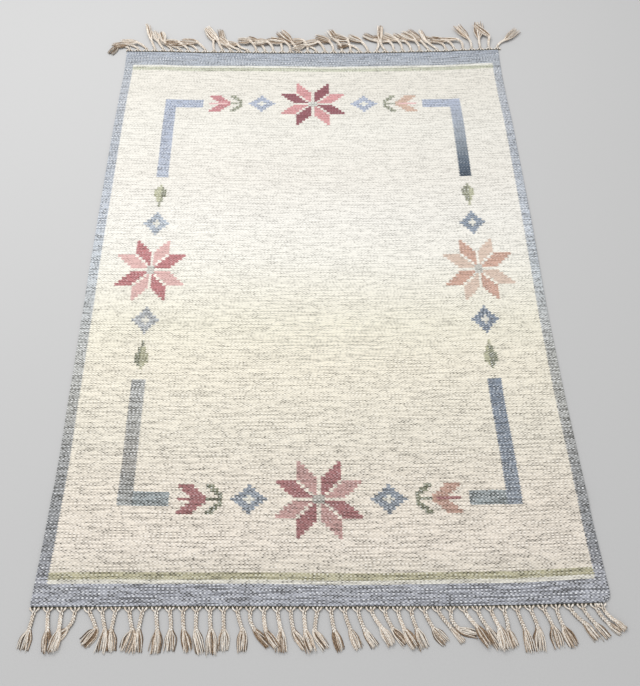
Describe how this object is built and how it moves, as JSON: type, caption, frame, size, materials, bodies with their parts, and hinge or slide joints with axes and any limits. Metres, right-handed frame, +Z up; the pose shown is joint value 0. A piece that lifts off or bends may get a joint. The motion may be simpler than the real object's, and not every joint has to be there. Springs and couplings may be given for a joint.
{
  "type": "flat-woven rug",
  "caption": "Rectangular flat-woven wool rug lying flat, with slim borders, geometric flower motifs and a plaited, tufted fringe along both ends.",
  "frame": {"origin": "centre of the cloth on its underside, on the floor", "axes": "+X across the rug along the weft, +Y along the warp away from the near end, +Z up"},
  "size_m": [1.5416, 2.2435, 0.006],
  "materials": {
    "woven_wool": "matt tapestry-woven wool, heathered, in cream, blue-grey, rose, burgundy, peach and green",
    "warp_yarn": "matt plied linen or wool warp yarn, undyed ecru with tan ends"
  },
  "bodies": {
    "root": {"cloth": "woven_wool", "near_fringe": "warp_yarn", "far_fringe": "warp_yarn"}
  },
  "joints": []
}
